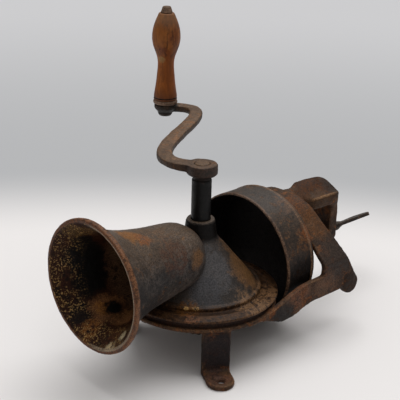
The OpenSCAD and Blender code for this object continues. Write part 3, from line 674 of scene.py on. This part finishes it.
def spindle_details(f, tint, chips):
    """Black rivet under the crank's eye"""
    rivet = f.step(f.z, crank_foot + 12, crank_foot + 10, 0.0, 0.9)
    return f.mix(rivet, tint, EYE_BLACK)


def shaft_details(f, tint, chips):
    """Rust brown tail end in the crank's hub"""
    tail = f.step(f.z, 133, 134)
    return f.mix(tail, tint, f.mix(chips, "#5b4433", "#7a6049"))


def steel(name, dark, light):
    """Tarnished steel with turning marks and stains"""
    f = Finish(name, roughness=0.4, shine=0.35)
    stain = f.noise(130, 6, 0.65, 0.3)
    marks = f.noise(60, 3, 0.6, stretch=(1.0, 1.0, 30.0))
    tint = f.mix(f.ramp(stain, 0.35, 0.68), dark, light)
    specks = f.ramp(f.noise(420, 5, 0.7), 0.60, 0.70)
    tint = f.mix(f.both(specks, 0.5), tint, "#5a3a26")
    return f.done(tint, f.ramp(stain, 0.3, 0.7, 0.30, 0.62), f.math("ADD", marks, stain), 0.15)


def wood(name):
    """Oiled turned hardwood with grain along the grip, a pale crown, grime near its foot and a painted sheen on
    the belly's left side
    """
    low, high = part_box("grip")
    middle = (low + high) / 2 / MM
    foot_z = low.z / MM
    top_z = high.z / MM
    f = Finish(name, roughness=0.5, shine=0.22)
    along = (1.0, 1.0, 0.06)
    grain = f.noise(420, 6, 0.65, 0.4, along)
    bands = f.noise(110, 4, 0.6, 1.2, along)
    stain = f.noise(55, 5, 0.6, 0.3)
    tint = f.mix(f.ramp(bands, 0.38, 0.62), "#6b350f", "#8c511c")
    tint = f.mix(f.both(f.ramp(grain, 0.48, 0.62), 0.75), tint, "#331a0c")
    tint = f.mix(f.both(f.ramp(f.noise(300, 6, 0.7), 0.46, 0.62), 0.45), tint, "#45230f")
    tint = f.mix(f.both(f.ramp(stain, 0.50, 0.68), 0.5), tint, "#4d240d")
    waist = f.step(f.z, foot_z + 43, foot_z + 32, 0.0, 0.4)
    tint = f.mix(waist, tint, "#954d0c")
    foot = f.step(f.z, foot_z + 14, foot_z, 0.0, 0.55)
    tint = f.mix(f.both(foot, f.ramp(stain, 0.3, 0.6, 0.5, 1.0)), tint, "#38211a")
    crown = f.step(f.z, top_z - 16, top_z - 3, 0.0, 0.45)
    tint = f.mix(crown, tint, "#8d6a4c")
    ring = f.between(f.z, foot_z + 1.4, foot_z + 2.2, 0.3)
    tint = f.mix(f.both(ring, 0.9), tint, "#170c07")
    bare = f.spot((middle.x - 6.8, middle.y - 3, foot_z + 36), 4.2, (1, 1, 1.3), 1.6)
    tint = f.mix(f.both(bare, 0.5), tint, "#8f7646")
    # Painted sheen: a lighter orange spot on the belly's left side
    belly_sheen = f.spot((middle.x - 10, middle.y - 2, foot_z + 56), 11)
    tint = f.mix(f.both(belly_sheen, 0.4), tint, "#8a5320")
    return f.done(tint, f.ramp(stain, 0.3, 0.7, 0.40, 0.62), grain, 0.18)


# Shapes that the castings get on top of their solids

def soften_clamp(piece):
    """Rounds the strap, the arms, the heels and the tongue, and slopes the tongue's top to its near edge"""
    def clamp_share(p):
        strap = STRAP_SHARE * rise(p.x, *STRAP_X) * rise(p.z, *STRAP_Z)
        heel = HEEL_SHARE * rise(p.x, *HEEL_X) * rise(p.z, *HEEL_Z)
        return max(strap, heel, SIDE_ARM_SHARE * rise(p.x, *SIDE_ARM_X))

    def tongue_share(p):
        return rise(p.x, *TONGUE_X) * rise(p.z, *TONGUE_Z)

    soften_where(piece, "clamp", CLAMP_ROUNDS, clamp_share)
    soften_where(piece, "tongue", TONGUE_ROUNDS, tongue_share)
    settle(piece)
    for vertex in piece.data.vertices:
        p = vertex.co / MM
        near = rise(p.y, *SLOPE_Y) * rise(p.x, *SLOPE_X)
        vertex.co.z -= SLOPE_DROP * near * rise(p.z, *SLOPE_Z) * MM
    piece.data.update()


def raise_seams(piece):
    """Raises the mould's two seams along the cone"""
    for vertex in piece.data.vertices:
        p = vertex.co / MM
        out = math.hypot(p.x, p.y)
        cone_r = CONE_TOP_R + (CONE_TOP_Z - p.z) * CONE_SPREAD
        if not (CONE_FOOT_Z < p.z < CONE_TOP_Z and out > cone_r - CONE_SKIN):
            continue
        foot = rise(p.z, CONE_FOOT_Z, CONE_FOOT_Z + SEAM_FOOT)
        head = rise(p.z, CONE_TOP_Z, CONE_TOP_Z - SEAM_HEAD)
        for turn in SEAM_TURNS:
            apart = math.remainder(math.atan2(p.y, p.x) - math.radians(turn), 2 * math.pi)
            lift = SEAM_RISE * rise(out * abs(apart), *SEAM_ACROSS) * foot * head
            vertex.co += Vector((p.x, p.y, 0)).normalized() * lift * MM
    piece.data.update()


def round_base(piece):
    """Rounds the edge of the cup's base and raises the bead beside it"""
    edge_x = cup_base_x - CUP_EDGE_LENGTH
    for vertex in piece.data.vertices:
        p = vertex.co / MM
        out = Vector((0, p.y, p.z - cup_z))
        across = out.length
        if across < CUP_FLOOR_R:
            continue
        wanted = across
        curve = min(max((p.x - edge_x) / CUP_EDGE_LENGTH, 0), 1)
        if curve > 0:
            wanted = min(across, CUP_BASE_R - CUP_EDGE_DEPTH * (1 - math.sqrt(1 - curve * curve)))
        if across > CUP_WALL_R:
            wanted += BEAD_RISE * rise(abs(p.x - BEAD_X), *BEAD_ACROSS)
        vertex.co += out.normalized() * (wanted - across) * MM
    piece.data.update()


def round_arm(piece):
    """Rounds the crank's arm, and narrows its hub and its eye towards their undersides"""
    hub = (0, 0)
    eye = [c / MM for c in joint_place("grip_spin")[:2]]

    def away(p, axis):
        return math.hypot(p.x - axis[0], p.y - axis[1])

    def arm_share(p):
        return rise(away(p, hub), *ARM_FROM_HUB) * rise(away(p, eye), *ARM_FROM_EYE)

    soften_where(piece, "arm", ARM_ROUNDS, arm_share)
    settle(piece)
    ends = [(hub, HUB_R, HUB_WAIST, HUB_BORE), (eye, EYE_R, EYE_WAIST, EYE_BORE)]
    for axis, radius, waist, bore in ends:
        foot = min(v.co.z for v in piece.data.vertices if away(v.co / MM, axis) < radius) / MM
        for vertex in piece.data.vertices:
            p = vertex.co / MM
            out = Vector((p.x - axis[0], p.y - axis[1], 0))
            if bore < out.length < END_REACH:
                narrow = 1 - (1 - waist) * rise(p.z, foot + END_FOOT, foot)
                wanted = max(bore, out.length * narrow)
                vertex.co += out.normalized() * (wanted - out.length) * MM
    piece.data.update()


# Pieces that are turned or threaded

def grip_piece():
    """Turned grip: a bead at the foot, a slim waist, a full belly and a bore for the spindle"""
    low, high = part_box("grip")
    centre = (low + high) / 2
    stations = [
        (0.0, 9.4), (0.5, 9.9), (1.2, 9.9), (1.7, 9.2), (2.3, 9.7), (3.6, 9.75), (7.6, 9.15),
        (12, 8.5), (16.2, 7.95), (20.6, 7.55), (25, 7.1), (29.3, 6.85), (33.5, 7.0), (37.8, 7.9),
        (42, 9.4), (46.3, 10.9), (50.5, 11.7), (54, 11.9), (59, 11.45), (63.2, 10.45),
        (67.4, 9.0), (71.2, 7.4), (72.8, 6.7), (73.5, 6.0),
    ]
    tall = stations[-1][0]
    widest = max(radius for height, radius in stations)
    scale = (high.z - low.z) / tall
    belly = GRIP_BELLY * (high.x - low.x) / 2
    bore = belly * GRIP_BORE
    drawn = [(radius * belly / widest, low.z + height * scale) for height, radius in stations]
    profile = [(bore, low.z)] + smooth_profile(drawn) + [(bore, high.z)]
    return lathe("grip_surface", profile, centre)


def clamp_screw_piece():
    """Clamp screw with its thread between the pad and the blade"""
    piece = cast("clamp_screw", 0.42, 3, [(0.25, 4)])
    screw_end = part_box("clamp_screw")[1].x
    pad_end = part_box("clamp_pad")[1].x
    start = Vector((pad_end + CLAMP_START * MM, 0, joint_place("screw_turn")[2]))
    length = screw_end - CLAMP_BLADE * MM - start.x
    cut_thread(piece, start, Vector((1, 0, 0)), length, CLAMP_THREAD_R, CLAMP_PITCH, CLAMP_DEPTH)
    return piece


def adjusting_screw_piece():
    """Thumb screw with its thread below the lock nut"""
    piece = cast("adjusting_screw", 0.42, 3)
    low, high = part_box("adjusting_screw")
    start = Vector((0, 0, low.z + ADJUSTER_START * MM))
    cut_thread(piece, start, Vector((0, 0, 1)), high.z - start.z,
               ADJUSTER_THREAD_R, ADJUSTER_PITCH, ADJUSTER_DEPTH, ADJUSTER_ROOM)
    return piece


# Finishes

housing_iron = iron(
    "housing_iron", black="#201e1e", brown="#3a3431", rust="#553824", tan="#80624b",
    rust_share=0.25, wear=0.7, dust=0.15, shine=0.30, gloss=0.45, details=housing_details,
)
hopper_iron = iron(
    "hopper_iron", black="#2c2827", brown="#5f554e", rust="#6f4c33", tan="#9b7b5e",
    rust_share=0.30, wear=0.6, dust=0.50, shine=0.20, details=hopper_details,
)
frame_iron = iron(
    "frame_iron", black="#33231a", brown="#644630", rust="#85512f", tan="#a07a56",
    rust_share=0.45, wear=0.75, dust=0.20, shine=0.13, gloss=0.55, details=frame_details,
)
cup_iron = iron(
    "cup_iron", black="#211c1a", brown="#453428", rust="#6b462a", tan="#94714f",
    rust_share=0.42, wear=0.7, dust=0.22, shine=0.24, gloss=0.48, details=cup_details,
)
crank_iron = iron(
    "crank_iron", black="#58412f", brown="#836349", rust="#996a48", tan="#ab8864",
    rust_share=0.45, wear=0.6, dust=0.35, details=crank_details,
)
handle_look = {
    "black": "#6f5542", "brown": "#967762", "rust": "#946a4a", "tan": "#b89a80",
    "rust_share": 0.3, "wear": 0.8, "dust": 0.35,
}
ferrule_iron = iron("ferrule_iron", **handle_look)
spindle_iron = iron("spindle_iron", **handle_look, details=spindle_details)
clamp_iron = iron(
    "clamp_iron", black="#1f1916", brown="#3a2f29", rust="#553a2a", tan="#836b58",
    rust_share=0.4, wear=0.7, dust=0.2,
)
shaft_steel = iron(
    "shaft_steel", black="#060606", brown="#0e0d0d", rust="#2b1d17", tan="#3f322a",
    rust_share=0.12, wear=0.3, dust=0.03, shine=0.18, gloss=0.42, details=shaft_details,
)
bush_metal = iron(
    "bush_metal", black="#3a322d", brown="#5d5047", rust="#5a4231", tan="#a08c78",
    rust_share=0.2, wear=0.9, dust=0.4, shine=0.3,
)
screw_steel = steel("screw_steel", dark="#3a332e", light="#6b6058")
mill_steel = steel("mill_steel", dark="#4a4642", light="#85807a")
grip_wood = wood("grip_wood")

# Castings: node, finish, grid, rounds of smoothing, and depths and sizes of lumps, in millimetres
castings = [
    ("base_frame", frame_iron, 0.90, 4, [(0.7, 14), (0.3, 3)]),
    ("housing", housing_iron, 0.68, 2, [(0.3, 12), (0.2, 2.5)]),
    ("hopper", hopper_iron, 0.85, 4, [(0.6, 16), (0.25, 3)]),
    ("receiving_cup", cup_iron, 0.7, 3, [(0.5, 18), (0.2, 3)]),
    ("crank_arm", crank_iron, 0.6, 8, [(0.6, 12), (0.25, 3)]),
    ("grip_spindle", spindle_iron, 0.45, 5, [(0.2, 4)]),
    ("grip_ferrule", ferrule_iron, 0.4, 3, [(0.2, 4)]),
    ("shaft", shaft_steel, 0.6, 2, [(0.15, 5)]),
    ("front_bush", bush_metal, 0.4, 2, [(0.15, 4)]),
    ("lock_nut", screw_steel, 0.4, 3, [(0.15, 4)]),
    ("housing_screws", screw_steel, 0.35, 2, []),
    ("clamp_pad", clamp_iron, 0.4, 3, [(0.2, 4)]),
]
shapers = {
    "base_frame": soften_clamp,
    "housing": raise_seams,
    "receiving_cup": round_base,
    "crank_arm": round_arm,
}
for node, material, voxel, rounds, lumps in castings:
    dress(cast(node, voxel, rounds, lumps, shapers.get(node)), node, material)

dress(grip_piece(), "grip", grip_wood)
dress(clamp_screw_piece(), "clamp_screw", clamp_iron)
dress(adjusting_screw_piece(), "adjusting_screw", screw_steel)

# Works inside the housing keep their own solids
inner_finish = {
    "rear_bush": bush_metal,
    "fixed_burr": mill_steel,
    "rotating_burr": mill_steel,
    "feed_worm": mill_steel,
    "drive_pins": screw_steel,
    "burr_screws": screw_steel,
}
for node, material in inner_finish.items():
    inner = frame["nodes"][node]
    inner.data.materials.clear()
    inner.data.materials.append(material)


# Studio

def floor():
    """Wide pale floor that turns grey away from the camera, as the wall in the photograph does"""
    mesh = bpy.data.meshes.new("floor")
    half = FLOOR_SIZE / 2
    corners = [(-half, -half, 0), (half, -half, 0), (half, half, 0), (-half, half, 0)]
    mesh.from_pydata(corners, [], [(0, 1, 2, 3)])
    piece = link("floor", mesh)
    f = Finish("floor_paper", roughness=0.9, shine=0.1)
    away = f.vector("MULTIPLY", f.vector("SUBTRACT", f.place, CAMERA_AT), (1, 1, 0))
    far = f.vector("LENGTH", away, out="Value")
    wall = f.mix(f.ramp(far, WALL_FROM, WALL_TOP), WALL_LOW_COLOUR, WALL_TOP_COLOUR)
    tint = f.mix(f.ramp(far, FLOOR_TO, WALL_FROM), FLOOR_COLOUR, wall)
    mesh.materials.append(f.done(tint))


def sky():
    """Soft white studio: bright overhead and dim at the sides, and seen as a plain pale wall"""
    world = bpy.data.worlds.new("studio")
    bpy.context.scene.world = world
    world.use_nodes = True
    tree = world.node_tree
    shade = tree.nodes["Background"]
    where = tree.nodes.new("ShaderNodeTexCoord")
    parts = tree.nodes.new("ShaderNodeSeparateXYZ")
    level = tree.nodes.new("ShaderNodeMapRange")
    level.inputs["From Min"].default_value = 0.0
    level.inputs["From Max"].default_value = 1.0
    level.inputs["To Min"].default_value = SKY_SIDE
    level.inputs["To Max"].default_value = SKY_TOP
    tree.links.new(where.outputs["Generated"], parts.inputs[0])
    tree.links.new(parts.outputs["Z"], level.inputs["Value"])
    path = tree.nodes.new("ShaderNodeLightPath")
    seen = tree.nodes.new("ShaderNodeMix")
    seen.inputs["B"].default_value = SKY_SEEN
    tree.links.new(path.outputs["Is Camera Ray"], seen.inputs["Factor"])
    tree.links.new(level.outputs[0], seen.inputs["A"])
    tree.links.new(seen.outputs["Result"], shade.inputs["Strength"])
    shade.inputs["Color"].default_value = SKY_COLOUR


def sun():
    """Broad soft lamp almost overhead"""
    data = bpy.data.lights.new("soft_lamp", "SUN")
    data.energy = SUN_STRENGTH
    data.angle = math.radians(SUN_ANGLE)
    lamp = bpy.data.objects.new("soft_lamp", data)
    lamp.rotation_mode = "QUATERNION"
    lamp.rotation_quaternion = SUN_FROM.to_track_quat("Z", "Y")
    bpy.context.scene.collection.objects.link(lamp)


def camera():
    """Camera at the photograph's viewpoint"""
    data = bpy.data.cameras.new("camera")
    data.lens = CAMERA_LENS
    data.sensor_width = CAMERA_SENSOR
    data.clip_start = CAMERA_CLIP
    eye = bpy.data.objects.new("camera", data)
    turn = Matrix((CAMERA_RIGHT, CAMERA_UP, CAMERA_BACK)).transposed().to_4x4()
    eye.matrix_world = Matrix.Translation(CAMERA_AT) @ turn
    bpy.context.scene.collection.objects.link(eye)
    bpy.context.scene.camera = eye


floor()
sky()
sun()
camera()
bpy.context.scene.view_settings.view_transform = "Standard"
